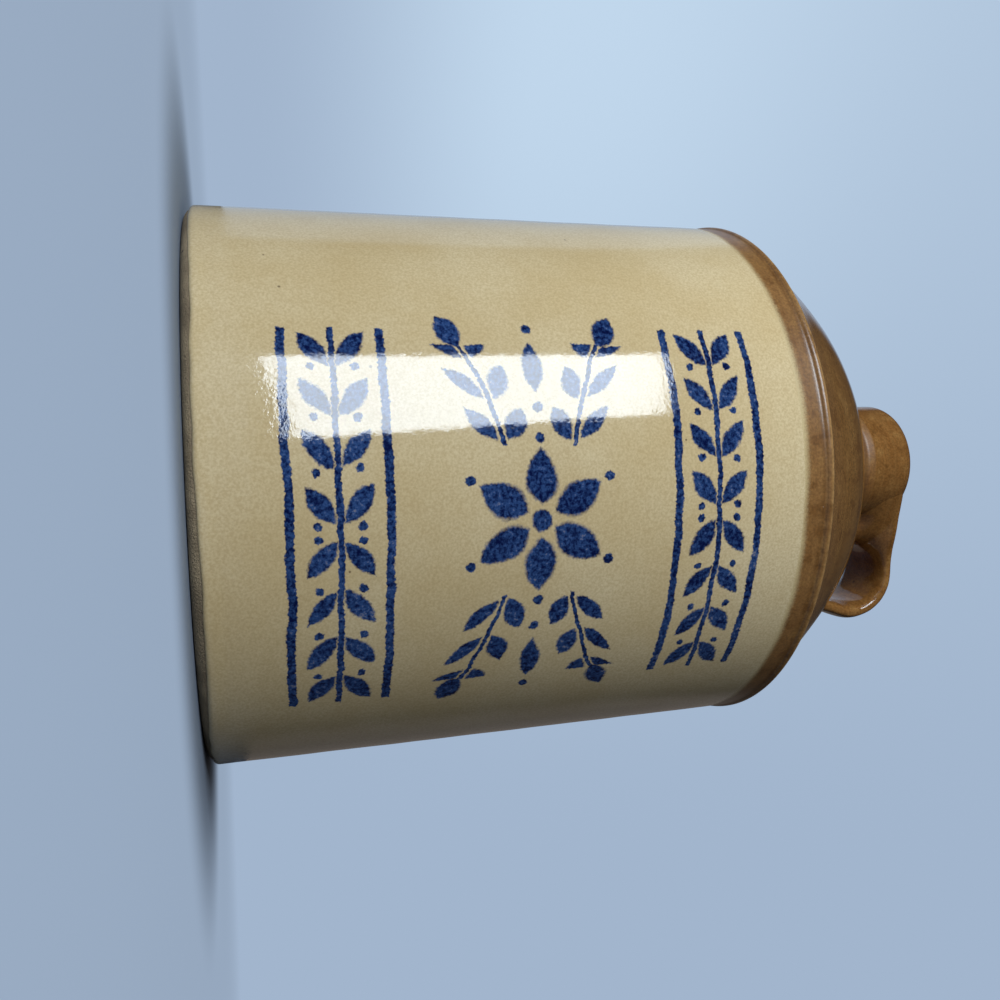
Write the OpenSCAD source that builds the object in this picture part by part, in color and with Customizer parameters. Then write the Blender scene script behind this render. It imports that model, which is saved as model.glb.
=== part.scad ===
// Small stoneware crock jug: a straight turned wall glazed cream, a domed shoulder and neck glazed
// brown, a strap handle for one finger and a cork stopper. The jug stands on its bare clay foot at
// z = 0, with its axis on Z and its handle towards +X.

/* [Body] */
// Radius of the straight wall, over the glaze
body_r = 54; // [50:1:60]
// Height of the ridge where the shoulder is joined to the wall
ridge_z = 108; // [95:1:125]
// Thickness of the fired clay
clay_t = 5.4; // [4.5:0.1:6.5]
// Thickness of the clay floor
floor_t = 7; // [5:0.5:9]
// Radius of the rounded foot edge, which is left bare
foot_round = 2.6; // [1.5:0.1:4]
// Depth of the hollow under the foot
hollow_depth = 1; // [0.5:0.1:2]
// Width of the ring that the jug stands on
foot_ring_w = 7; // [4:0.5:10]

/* [Shoulder] */
// Height from the ridge up to the root of the neck
dome_h = 31.8; // [28:0.2:36]
// How far the dome starts inside the wall
ledge_w = 0.6; // [0.2:0.1:1.5]
// Radius of the ridge's round bead
bead_r = 0.9; // [0.6:0.1:1.2]
// How far the bead stands out of the wall
bead_out = 0.35; // [0.2:0.05:0.5]

/* [Neck] */
// Radius of the rounded lip, over the glaze
lip_r = 14; // [13:0.5:16]
// Height of the straight neck between its root and the lip
waist_h = 3.2; // [1:0.1:6]
// Height of the lip's band
lip_h = 13; // [10:0.5:14]
// How much slimmer the neck is under the lip
waist_in = 0.9; // [0.4:0.1:1.4]
// Radius of the lip's top edge
lip_round = 3.9; // [2:0.1:4]
// Radius of the mouth at the top of the cork's seat
mouth_r = 9.2; // [8.5:0.1:9.8]
// Length of the tapered seat
seat_len = 17; // [14:0.5:18]
// How much the seat's radius shrinks over its length
seat_taper = 0.8; // [0.5:0.05:1.2]

/* [Handle] */
// Turn of the handle about the jug's axis, from straight along X
handle_turn = 6; // [0:1:12]
// Width of the strap at the middle of the loop
strap_w = 15.5; // [12:0.5:18]
// Thickness of the strap at the middle of the loop
strap_t = 3.9; // [3:0.1:4.6]
// How far the loop reaches from the jug's axis
loop_reach = 37.8; // [36:0.1:40]
// Radius of the loop's bend, at the middle of the strap
bend_r = 9.3; // [8:0.1:10]
// Angle that the bend turns through
bend_angle = 109; // [100:1:116]
// Width of the web between the loop's hole and the neck
web_w = 12.5; // [8:0.5:15]
// How far the web flares out where it meets the dome
web_flare = 2.5; // [0:0.5:4]
// How far the strap's top stands above the top of the lip over the loop's hole
strap_rise = 0.5; // [0:0.1:1]
// How far the strap's top lies under the top of the lip where they meet
strap_drop = 0.3; // [0:0.1:1.5]
// Extra width where the strap joins the neck
root_flare = 7; // [0:0.2:9]
// Extra width where the strap is pressed onto the shoulder
foot_flare = 6; // [2:0.5:8]
// Extra thickness where the strap is pressed onto the shoulder
foot_swell = 2.2; // [1:0.1:3]

/* [Glaze] */
// Thickness of each glaze coat
glaze_t = 0.4; // [0.2:0.05:0.6]
// How far the brown glaze runs down below the ridge
brown_drop = 5.3; // [3:0.1:8]

/* [Cork] */
// How far the cork stands out of the mouth
cork_proud = 1.9; // [1:0.1:2.4]
// How far the cork reaches down the seat
cork_len = 15; // [11:0.5:15.5]
// Radius of the cork's rounded edges
cork_round = 1.1; // [0.5:0.1:1.6]
// Running clearance between the cork and its seat
cork_gap = 0.05; // [0.02:0.01:0.1]

/* [Hidden] */
$fn = 128;

// Inside corner between the floor and the wall
inner_round = 6;
// Points along the dome's curve, and along each small curve
dome_steps = 26;
small_steps = 8;
// Sections along the strap's straight run and along its bend
run_steps = 7;
bend_steps = 14;
// Points round the strap's section
strap_sides = 28;
// Squareness of the strap's section: 2 is an ellipse, higher is boxier
strap_power = 2.9;
// Steps round each rounded corner
arc_steps = 10;
// Bézier handles of the dome, as shares of its width and height
dome_start_share = [0.285, 0.40];
dome_end_share = [0.68, 0.325];
// Share of the dome's curve that the cavity follows before it turns into the throat
cavity_share = 0.86;
// Bézier handles of the neck's root and of the lip's underside, as shares of each curve's reach
root_share = 0.55;
lip_under_share = 0.5;
// Height of the neck's root curve, and of the curve under the lip
root_h = 3.4;
lip_under_h = 2;
// Inner edge of the lip
mouth_round = 0.8;
// Radius inside the neck that the handle's sections reach for, before they stop at its surface
strap_in = 9;
// Share of the strap's straight run over which it flares onto the shoulder
foot_flare_share = 0.8;
// Height above the neck's root where the web starts to spread onto the shoulder
web_foot_h = 4.6;
// Angle above the web over which the handle widens to its root on the lip
root_angle = 40;
// Angle beside the hole's top over which the strap's top goes down to the lip
dip_angle = 40;
// Sections over each foot, up the web and round the corner under the root
foot_steps = 3;
web_steps = 6;
corner_steps = 16;
// Thickness of the slip that joins the handle to the jug
lute_t = 0.16;

clay_r = body_r - glaze_t;
neck_z = ridge_z + dome_h;
rim_z = neck_z + root_h + waist_h + lip_under_h + lip_h;
neck_r = lip_r - waist_in;
brown_z = ridge_z - brown_drop;
seam_z = ridge_z - bead_r;
seat_z = rim_z - seat_len;
seat_r = mouth_r - seat_taper;
root_r = neck_r + root_h;
clay_bore_r = clay_r - clay_t;
foot_in = clay_r - foot_round - foot_ring_w;

// Point at share t of the cubic curve with end points a and d and handles b and c
function curve_at(a, b, c, d, t) =
    pow(1 - t, 3) * a + 3 * pow(1 - t, 2) * t * b + 3 * (1 - t) * t * t * c + pow(t, 3) * d;

function curve(a, b, c, d, steps, last = 1) =
    [for (i = [0 : steps]) curve_at(a, b, c, d, last * i / steps)];

// Points of an arc about a centre, from one angle to another
function arc(centre, r, from, to) =
    [for (i = [0 : arc_steps]) centre + r * [cos(from + (to - from) * i / arc_steps),
                                            sin(from + (to - from) * i / arc_steps)]];

// Unit normal on the left of the way from one point to another
function left_of(a, b) = [a[1] - b[1], b[0] - a[0]] / norm(b - a);

// A line of points moved to its left by a distance
function shifted(points, d) =
    [for (i = [0 : len(points) - 1])
        points[i] + d * left_of(points[max(i - 1, 0)], points[min(i + 1, len(points) - 1)])];

// Dome over the glaze, from the ridge up to the neck's root
dome_a = [body_r - ledge_w, ridge_z + bead_r];
dome_d = [root_r, neck_z];
dome_span = [dome_a[0] - dome_d[0], dome_d[1] - dome_a[1]];
dome_b = dome_a + [-dome_start_share[0] * dome_span[0], dome_start_share[1] * dome_span[1]];
dome_c = dome_d + [dome_end_share[0] * dome_span[0], -dome_end_share[1] * dome_span[1]];

function dome_line(last = 1) = curve(dome_a, dome_b, dome_c, dome_d, dome_steps, last);

// Neck's root, from the dome up to the neck
function root_line() =
    curve(dome_d,
          dome_d + root_share * root_h * (dome_d - dome_c) / norm(dome_d - dome_c),
          [neck_r, neck_z + root_h - root_share * root_h],
          [neck_r, neck_z + root_h], small_steps);

// Neck from its root up and over the lip, ending at the lip's flat top
function lip_line() =
    concat(curve([neck_r, rim_z - lip_h - lip_under_h],
                 [neck_r, rim_z - lip_h - lip_under_share * lip_under_h],
                 [lip_r, rim_z - lip_h - lip_under_share * lip_under_h],
                 [lip_r, rim_z - lip_h], small_steps),
           arc([lip_r - lip_round, rim_z - lip_round], lip_round, 0, 90));

// The shoulder and the neck in one line, d under the glaze's surface
function skin_line(d) =
    shifted(concat(dome_line(), [for (i = [1 : small_steps]) root_line()[i]], lip_line()), d);

// Half section of the whole jug without its cavity, d under the glaze's surface
module outside(d) {
    top = skin_line(d);
    polygon(concat([[0, 0], [body_r - d - foot_round, 0]],
                   arc([body_r - d - foot_round, foot_round], foot_round, -90, 0),
                   [[body_r - d, ridge_z + bead_r - d]],
                   top,
                   [[0, rim_z - d]]));
    translate([body_r + bead_out - bead_r, ridge_z])
        circle(r = bead_r - d, $fn = 32);
}

// Half section of the cavity, d inside the clay's inner surface
module cavity(d) {
    inner = shifted(dome_line(cavity_share), glaze_t + clay_t + d);
    low = inner[len(inner) - 1];
    polygon(concat([[0, floor_t + d], [clay_bore_r - inner_round, floor_t + d]],
                   arc([clay_bore_r - inner_round, floor_t + inner_round], inner_round - d, -90, 0),
                   [for (p = inner) [min(p[0], clay_bore_r - d), p[1]]],
                   [[seat_r - d, low[1] + root_h], [seat_r - d, seat_z], [0, seat_z]]));
}

// Tapered hole for the cork, shrunk by a clearance
module seat(gap, from_z, to_z) {
    polygon([[0, from_z],
             [seat_radius(from_z) - gap, from_z],
             [seat_radius(to_z) - gap, to_z],
             [0, to_z]]);
}

function seat_radius(z) = seat_r + seat_taper * (z - seat_z) / seat_len;

// Rounded inner edge of the lip, taken out of the solid
module mouth_edge() {
    difference() {
        translate([0, rim_z - mouth_round])
            square([mouth_r + mouth_round, 2 * mouth_round]);
        translate([mouth_r + mouth_round, rim_z - mouth_round])
            circle(r = mouth_round, $fn = 32);
    }
}

// Layer of the half plane between two heights
module slice(low, high) {
    translate([0, low])
        square([2 * body_r, high - low]);
}

// Half section of the clay
module clay() {
    difference() {
        outside(glaze_t);
        cavity(0);
        seat(0, seat_z, rim_z + lip_round);
        mouth_edge();
    }
}

// Half section of the outer coat of glaze
module coat() {
    difference() {
        outside(0);
        outside(glaze_t);
        seat(0, seat_z, rim_z + lip_round);
        mouth_edge();
    }
}

module crock_body() {
    color("#b9a98c")
        difference() {
            rotate_extrude()
                intersection() {
                    clay();
                    slice(0, seam_z);
                }
            translate([0, 0, -hollow_depth])
                cylinder(r1 = foot_in, r2 = foot_in - hollow_depth, h = 2 * hollow_depth);
        }
}

module shoulder_dome() {
    color("#a8906c")
        rotate_extrude()
            intersection() {
                clay();
                slice(seam_z, neck_z);
            }
}

module neck_collar() {
    color("#9c8462")
        rotate_extrude()
            intersection() {
                clay();
                slice(neck_z, rim_z);
            }
}

module cream_glaze() {
    color("#d8caa8")
        rotate_extrude()
            intersection() {
                coat();
                slice(foot_round, brown_z);
            }
}

module brown_glaze() {
    color("#7a5a34")
        rotate_extrude()
            intersection() {
                coat();
                slice(brown_z, rim_z);
            }
}

module liner_glaze() {
    color("#6b4a2c")
        rotate_extrude()
            intersection() {
                difference() {
                    cavity(0);
                    cavity(glaze_t);
                }
                slice(floor_t, neck_z);
            }
}

// The strap's bend goes round this hole, which the web closes on the neck's side
hole_r = bend_r - strap_t / 2;
outer_r = bend_r + strap_t / 2;
hole = [loop_reach - strap_t / 2 - bend_r, rim_z + strap_rise - strap_t / 2 - bend_r];
bend_end = 90 - bend_angle;
drop_side = [cos(bend_end), sin(bend_end)];
drop_way = [drop_side[1], -drop_side[0]];
drop_start = hole + bend_r * drop_side;
drop_len = lookup(0, [for (i = [0 : dome_steps])
    let (way = loop_reach * i / dome_steps, at = drop_start + way * drop_way)
    [at[1] - jug_height(at[0]), way]]);
web_low = neck_z + web_foot_h;

// Radius of the jug's outer surface at a height, and height of its shoulder at a radius
function jug_radius(z) = lookup(z, [for (p = skin_line(0)) [p[1], p[0]]]);
function jug_height(r) = lookup(r, concat(dome_line(), root_line()));

// Smooth step from 0 to 1
function ease(t) = let (u = min(max(t, 0), 1)) u * u * (3 - 2 * u);

// Signed power, for the rounded box of a section
function spow(v, p) = sign(v) * pow(abs(v), p);

// Section of the handle, a rounded box from a point on its inner face to one on its outer face
function section(inner, outer, inner_w, outer_w) =
    [for (j = [0 : strap_sides - 1])
        let (angle = 360 * j / strap_sides,
             u = (1 + spow(sin(angle), 2 / strap_power)) / 2,
             middle = inner + u * (outer - inner))
        [middle[0],
         spow(cos(angle), 2 / strap_power) * (inner_w + u * (outer_w - inner_w)) / 2,
         middle[1]]];

// Points inside the neck moved out to the slip on its surface, towards +X
function clear_of_neck(points) =
    [for (p = points)
        [max(p[0], sqrt(max(pow(jug_radius(p[2]) + lute_t, 2) - p[1] * p[1], 0))), p[1], p[2]]];

// Points put on the slip on the shoulder, straight below where they are
function seated(points) =
    [for (p = points) [p[0], p[1], jug_height(norm([p[0], p[1]])) + lute_t]];

function mean(points) = [for (k = [0 : 2]) [for (p = points) 1] * [for (p = points) p[k]] / len(points)];

function between(from, to, t) = [for (j = [0 : len(from) - 1]) from[j] + t * (to[j] - from[j])];

// A seated section filled by ever smaller copies of itself
function filled(points, share) =
    seated([for (p = points) mean(points) + share * (p - mean(points))]);

// Section on the ray from the hole's middle at an angle: 180 meets the neck, 90 the strap's top
function spoke(angle) =
    let (way = [cos(angle), sin(angle)],
         to_neck = max(-cos(angle) / (hole[0] - strap_in), 0),
         crest = outer_r - (strap_rise + strap_drop) * ease((angle - 90) / dip_angle),
         reach = angle > 90 ? 1 / max(sin(angle) / crest, to_neck) : outer_r,
         hole_w = web_w + (strap_w - web_w) * ease(2 - angle / 90),
         top_w = strap_w + root_flare * ease(reach * cos(angle) / (lip_r - hole[0])),
         out_w = hole_w + (top_w - hole_w) * (angle > 90 ? ease((180 - angle) / root_angle) : 1))
    clear_of_neck(section(hole + hole_r * way, hole + reach * way, hole_w, out_w));

// Section of the web at a height above its foot
function web_section(z) =
    clear_of_neck(section([hole[0] - hole_r, z], [strap_in, z], web_w, web_w));

// Section of the strap at a share of its straight run down to the shoulder
function drop_section(t) =
    let (middle = drop_start + t * drop_len * drop_way,
         far = ease((t - 1) / foot_flare_share + 1),
         half = (strap_t + foot_swell * far) / 2,
         w = strap_w + foot_flare * far)
    section(middle - half * drop_side, middle + half * drop_side, w, w);

function web_foot() =
    seated([for (p = web_section(web_low))
        let (out = (p[0] - neck_r) / (hole[0] - hole_r - neck_r))
        [p[0] + web_flare * max(out, 0), p[1], p[2]]]);

// Sections from the web's foot up to the hole, round it, and down the strap to its foot
function handle_sections() =
    concat([for (i = [1 : foot_steps]) filled(web_foot(), i / foot_steps)],
           [for (i = [1 : foot_steps - 1])
               between(web_foot(), web_section(web_low), ease(i / foot_steps))],
           [for (i = [0 : web_steps - 1])
               web_section(web_low + (hole[1] - web_low) * i / web_steps)],
           [for (i = [0 : corner_steps - 1]) spoke(180 - 90 * i / corner_steps)],
           [for (i = [0 : bend_steps]) spoke(90 - bend_angle * i / bend_steps)],
           [for (i = [1 : run_steps - 1]) drop_section(i / run_steps)],
           [for (i = [foot_steps : -1 : 1]) filled(drop_section(1), i / foot_steps)]);

// Closed skin over sections of strap_sides points, pointed at both ends
module loft(rings) {
    n = strap_sides;
    last = len(rings) - 1;
    points = concat([for (ring = rings) each ring],
                    seated([mean(rings[0]), mean(rings[last])]));
    tip = (last + 1) * n;
    walls = [for (i = [0 : last - 1], j = [0 : n - 1])
        let (k = (j + 1) % n, p = i * n, q = p + n)
        each [[p + j, q + j, q + k], [p + j, q + k, p + k]]];
    first_end = [for (j = [0 : n - 1]) [j, (j + 1) % n, tip]];
    last_end = [for (j = [0 : n - 1]) [last * n + (j + 1) % n, last * n + j, tip + 1]];
    polyhedron(points, concat(walls, first_end, last_end));
}

module strap_handle() {
    color("#7d5326")
        rotate([0, 0, handle_turn])
            loft(handle_sections());
}

module cork_stopper() {
    color("#b98b5a")
        rotate_extrude()
            difference() {
                seat(cork_gap, rim_z - cork_len, rim_z + cork_proud);
                cork_edge(rim_z + cork_proud, -1);
                cork_edge(rim_z - cork_len, 1);
            }
}

// Waste outside the cork's rounded edge at a height; way is 1 at its bottom and -1 at its top
module cork_edge(z, way) {
    r = seat_radius(z) - cork_gap;
    translate([r - cork_round, z + way * cork_round])
        difference() {
            translate([0, way > 0 ? -2 * cork_round : 0])
                square([2 * cork_round, 2 * cork_round]);
            circle(r = cork_round, $fn = 32);
        }
}

crock_body();
shoulder_dome();
neck_collar();
strap_handle();
cream_glaze();
brown_glaze();
liner_glaze();
cork_stopper();
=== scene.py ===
"""Looks for a small stoneware crock jug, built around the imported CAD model.

The jug has a bare clay foot, a straight wall glazed cream with cobalt decoration, a domed shoulder and
a neck glazed brown, a strap handle for one finger and a cork. It stands on its foot at z = 0 with its
axis on Z and its handle beside +X. The camera is turned on its side, as the jug was photographed lying.
"""

import logging
import math
from collections.abc import Callable, Sequence
from dataclasses import dataclass, replace
from enum import Enum
from typing import ClassVar

import bmesh
import bpy
import numpy as np
from mathutils import Matrix, Vector, noise


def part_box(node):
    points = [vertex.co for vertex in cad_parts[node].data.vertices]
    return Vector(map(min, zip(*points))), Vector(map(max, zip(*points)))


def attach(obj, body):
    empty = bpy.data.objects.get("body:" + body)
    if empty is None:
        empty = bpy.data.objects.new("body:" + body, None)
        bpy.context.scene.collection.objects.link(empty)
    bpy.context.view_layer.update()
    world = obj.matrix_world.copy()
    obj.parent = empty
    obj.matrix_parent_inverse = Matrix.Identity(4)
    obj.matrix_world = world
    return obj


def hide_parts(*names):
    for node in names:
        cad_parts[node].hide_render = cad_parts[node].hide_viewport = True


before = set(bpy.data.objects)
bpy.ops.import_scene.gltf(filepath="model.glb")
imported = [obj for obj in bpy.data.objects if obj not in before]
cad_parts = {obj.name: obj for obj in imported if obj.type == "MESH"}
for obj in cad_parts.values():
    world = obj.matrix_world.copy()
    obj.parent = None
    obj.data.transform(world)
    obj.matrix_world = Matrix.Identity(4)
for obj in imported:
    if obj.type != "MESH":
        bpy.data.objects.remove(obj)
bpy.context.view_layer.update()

logging.basicConfig(level=logging.INFO, format="%(message)s")
log = logging.getLogger("crock_jug")

MM = 0.001
WELD = 1e-7
SHARP_ANGLE = math.radians(55)
GLAZE_IOR = 1.56

Point = tuple[float, float]
Triple = tuple[float, float, float]
Colour = tuple[float, float, float]
Mesh = bmesh.types.BMesh
Piece = bpy.types.Object
Tree = bpy.types.NodeTree
Socket = bpy.types.NodeSocket
Value = Socket | float | Sequence[float]


class Body(Enum):
    """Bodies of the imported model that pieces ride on."""

    JUG = "jug"
    STOPPER = "stopper"


class Finish(Enum):
    """Material slots of the record."""

    CLAY = "bare_clay"
    CREAM = "cream_glaze"
    BROWN = "brown_glaze"
    LINER = "liner_glaze"
    CORK = "cork"


def linear(red: int, green: int, blue: int) -> Colour:
    """Linear light of a colour that is seen on a screen as three levels of 0 to 255."""
    shares = (level / 255 for level in (red, green, blue))
    return tuple(c / 12.92 if c <= 0.04045 else ((c + 0.055) / 1.055) ** 2.4 for c in shares)


def curve(a: Point, b: Point, c: Point, d: Point, steps: int) -> list[Point]:
    """Points along a cubic curve.

    Args:
        a: Start point.
        b: Handle of the start point.
        c: Handle of the end point.
        d: End point.
        steps: Number of spans.

    Returns:
        The points, with both ends.
    """
    points = []
    for i in range(steps + 1):
        t = i / steps
        shares = ((1 - t) ** 3, 3 * (1 - t) ** 2 * t, 3 * (1 - t) * t ** 2, t ** 3)
        points.append(tuple(sum(s * p[k] for s, p in zip(shares, (a, b, c, d))) for k in (0, 1)))
    return points


def arc(centre: Point, radius: float, start: float, end: float, steps: int) -> list[Point]:
    """Points along an arc, with both ends, between two angles in degrees."""
    angles = [math.radians(start + (end - start) * i / steps) for i in range(steps + 1)]
    return [(centre[0] + radius * math.cos(a), centre[1] + radius * math.sin(a)) for a in angles]


def run(start: Point, end: Point, steps: int) -> list[Point]:
    """Points along a straight line, without its ends."""
    return [(start[0] + (end[0] - start[0]) * i / steps, start[1] + (end[1] - start[1]) * i / steps)
            for i in range(1, steps)]


def shifted(points: Sequence[Point], distance: float) -> list[Point]:
    """Moves a line of points sideways.

    Args:
        points: The line.
        distance: How far it moves to the left of its way.

    Returns:
        The moved points.
    """
    moved = []
    for i, point in enumerate(points):
        before = points[max(i - 1, 0)]
        after = points[min(i + 1, len(points) - 1)]
        span = math.hypot(after[0] - before[0], after[1] - before[1])
        moved.append((point[0] - distance * (after[1] - before[1]) / span,
                      point[1] + distance * (after[0] - before[0]) / span))
    return moved


def ease(t: float) -> float:
    """Smooth step from 0 to 1."""
    t = min(max(t, 0.0), 1.0)
    return t * t * (3 - 2 * t)


def rounding(depth: np.ndarray, reach: float) -> np.ndarray:
    """How far a round fillet stands out at depths from the surface that it runs into."""
    inside = np.clip(1 - depth / reach, 0, 1)
    return reach * (1 - np.sqrt(1 - inside ** 2))


def radius_of(node: str) -> float:
    """Radius of a round CAD node about Z, taken where its box is narrowest."""
    low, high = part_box(node)
    return min(-low[0], -low[1], high[0], high[1])


@dataclass
class JugSizes:
    """Sizes that the pieces of the jug share, in metres, and bead_roll in degrees.

    Heights and radii of the CAD nodes come from the frame.
    """

    bead_out: float = 0.35 * MM
    bead_r: float = 0.9 * MM
    bead_rise_share: float = 0.8
    bead_roll: float = 12.0
    groove: float = 0.08 * MM
    groove_h: float = 0.25 * MM
    ledge: float = 0.6 * MM
    glaze: float = 0.4 * MM
    clay: float = 5.4 * MM
    floor: float = 7.0 * MM
    foot_round: float = 2.6 * MM
    ring_w: float = 7.0 * MM
    hollow: float = 1.0 * MM
    inner_round: float = 6.0 * MM
    root_h: float = 3.4 * MM
    lip_h: float = 13.0 * MM
    lip_under: float = 2.0 * MM
    lip_round: float = 3.9 * MM
    lip_wall: float = 4.0 * MM
    waist: float = 0.9 * MM
    mouth_r: float = 9.2 * MM
    mouth_round: float = 0.8 * MM
    mouth_depth: float = 4.0 * MM

    def __post_init__(self) -> None:
        """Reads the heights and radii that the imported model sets."""
        self.border_z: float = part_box("brown_glaze")[0][2]
        self.rim_z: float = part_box("brown_glaze")[1][2]
        self.neck_z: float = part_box("neck_collar")[0][2]
        self.seam_z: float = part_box("crock_body")[1][2]
        self.ridge_z: float = self.seam_z + self.bead_r
        self.wall_r: float = radius_of("brown_glaze") - self.bead_out
        self.lip_r: float = self.mouth_r + self.mouth_round + self.lip_wall
        self.neck_r: float = self.lip_r - self.waist


@dataclass
class Outline:
    """Half section of the glazed jug, in the plane of its axis, as (radius, height)."""

    sizes: JugSizes
    dome_start_shares: Point = (0.285, 0.40)
    dome_end_shares: Point = (0.68, 0.325)
    root_share: float = 0.55
    wall_steps: int = 8
    bead_steps: int = 14
    dome_steps: int = 56
    root_steps: int = 14
    neck_steps: int = 6
    waist_steps: int = 12
    lip_side_steps: int = 8
    lip_steps: int = 18
    mouth_steps: int = 6
    bore_steps: int = 4

    def __post_init__(self) -> None:
        """Works out the lines of the shoulder, the neck and the lip."""
        s = self.sizes
        start = (s.wall_r - s.ledge, s.ridge_z + s.bead_r)
        end = (s.neck_r + s.root_h, s.neck_z)
        width = start[0] - end[0]
        height = end[1] - start[1]
        start_handle = (start[0] - self.dome_start_shares[0] * width,
                        start[1] + self.dome_start_shares[1] * height)
        end_handle = (end[0] + self.dome_end_shares[0] * width,
                      end[1] - self.dome_end_shares[1] * height)
        self.dome = curve(start, start_handle, end_handle, end, self.dome_steps)
        away = math.hypot(end[0] - end_handle[0], end[1] - end_handle[1])
        reach = self.root_share * s.root_h
        onward = (end[0] + reach * (end[0] - end_handle[0]) / away,
                  end[1] + reach * (end[1] - end_handle[1]) / away)
        root_top = (s.neck_r, s.neck_z + s.root_h)
        self.root = curve(end, onward, (root_top[0], root_top[1] - reach), root_top, self.root_steps)
        under = s.rim_z - s.lip_h
        middle = under - s.lip_under / 2
        self.waist = curve((s.neck_r, under - s.lip_under), (s.neck_r, middle),
                           (s.lip_r, middle), (s.lip_r, under), self.waist_steps)
        self.lip = arc((s.lip_r - s.lip_round, s.rim_z - s.lip_round), s.lip_round, 0, 90, self.lip_steps)
        self.mouth = arc((s.mouth_r + s.mouth_round, s.rim_z - s.mouth_round), s.mouth_round, 90, 180,
                         self.mouth_steps)

    def bead(self) -> list[Point]:
        """Line of the ridge's bead.

        Returns:
            The points from the groove under the bead up to the ledge over it.
        """
        s = self.sizes
        lean = math.degrees(math.asin(s.bead_rise_share))
        centre = (s.wall_r + s.bead_out - s.bead_r, s.ridge_z)
        return arc(centre, s.bead_r, -lean, lean + s.bead_roll, self.bead_steps)

    def skin(self) -> list[Point]:
        """Outer line of the brown coat.

        Returns:
            The points from the glaze border up over the lip and down into the mouth.
        """
        s = self.sizes
        border = (s.wall_r, s.border_z)
        wall_top = (s.wall_r - s.groove, s.ridge_z - s.bead_r - s.groove_h)
        wall = [border, *run(border, wall_top, self.wall_steps), wall_top]
        neck = run(self.root[-1], self.waist[0], self.neck_steps)
        lip_side = run(self.waist[-1], self.lip[0], self.lip_side_steps)
        mouth_end = (s.mouth_r, s.rim_z - s.mouth_depth)
        bore = [*run(self.mouth[-1], mouth_end, self.bore_steps), mouth_end]
        return [*wall, *self.bead(), *self.dome[1:], *self.root[1:], *neck, *self.waist, *lip_side,
                *self.lip, *self.mouth, *bore]

    def depth(self, points: np.ndarray) -> tuple[np.ndarray, np.ndarray]:
        """Distance of points from the shoulder, the neck and the lip.

        Args:
            points: Points in space, one in each row.

        Returns:
            The distances, above zero outside the jug, and the jug's outward normals nearest the points.
        """
        line = np.array([*self.dome, *self.root[1:], *self.waist, *self.lip])
        radius = np.hypot(points[:, 0], points[:, 1])
        flat = np.stack([radius, points[:, 2]], axis=1)[:, None, :]
        start = line[:-1][None]
        span = (line[1:] - line[:-1])[None]
        share = np.clip(((flat - start) * span).sum(2) / (span ** 2).sum(2), 0, 1)
        away = flat - (start + share[..., None] * span)
        distance = np.linalg.norm(away, axis=2)
        nearest = distance.argmin(axis=1)
        rows = np.arange(len(points))
        way = span[0, nearest]
        outward = np.stack([way[:, 1], -way[:, 0]], axis=1)
        outward /= np.linalg.norm(outward, axis=1, keepdims=True)
        side = np.sign((away[rows, nearest] * outward).sum(1))
        turn = points[:, :2] / np.maximum(radius, MM)[:, None]
        normals = np.stack([turn[:, 0] * outward[:, 0], turn[:, 1] * outward[:, 0], outward[:, 1]], axis=1)
        return distance[rows, nearest] * side, normals


@dataclass(frozen=True)
class HandTurning:
    """How a hand turned wall wavers inside its true circle. Scales are in waves for each metre."""

    inset: float = 0.10 * MM
    slow: float = 0.09 * MM
    rings: float = 0.05 * MM
    slow_scale: Triple = (22.0, 22.0, 13.0)
    ring_scale: Triple = (6.0, 6.0, 160.0)
    ring_start: Triple = (0.0, 0.0, 9.0)

    def inward(self, co: Vector) -> float:
        """How far the wall lies inside its circle at a point."""
        rings = noise.noise(co * Vector(self.ring_scale) + Vector(self.ring_start))
        return self.inset + self.slow * noise.noise(co * Vector(self.slow_scale)) + self.rings * rings

    def apply(self, bm: Mesh, share: Callable[[Vector], float] = lambda co: 1.0) -> None:
        """Moves a turned mesh inwards.

        Args:
            bm: The mesh.
            share: How much of the movement a point takes.
        """
        for vert in bm.verts:
            radius = vert.co.xy.length
            if radius > MM:
                vert.co.xy *= 1 - share(vert.co) * self.inward(vert.co) / radius


def add_object(name: str, data: bpy.types.ID) -> Piece:
    """Adds an object to the scene.

    Args:
        name: Name of the object.
        data: Its mesh, light or camera.

    Returns:
        The object, at the origin.
    """
    added = bpy.data.objects.new(name, data)
    bpy.context.scene.collection.objects.link(added)
    return added


def to_object(name: str, bm: Mesh, body: Body, finish: Finish, *nodes: str) -> Piece:
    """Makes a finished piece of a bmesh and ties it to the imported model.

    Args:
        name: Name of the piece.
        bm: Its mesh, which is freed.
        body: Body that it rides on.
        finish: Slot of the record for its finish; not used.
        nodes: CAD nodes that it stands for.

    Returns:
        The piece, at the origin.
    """
    bmesh.ops.recalc_face_normals(bm, faces=bm.faces)
    for face in bm.faces:
        face.smooth = True
    for edge in bm.edges:
        edge.smooth = edge.calc_face_angle(0.0) < SHARP_ANGLE
    mesh = bpy.data.meshes.new(name)
    bm.to_mesh(mesh)
    bm.free()
    piece = add_object(name, mesh)
    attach(piece, body.value)
    if nodes:
        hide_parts(*nodes)
    return piece


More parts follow.
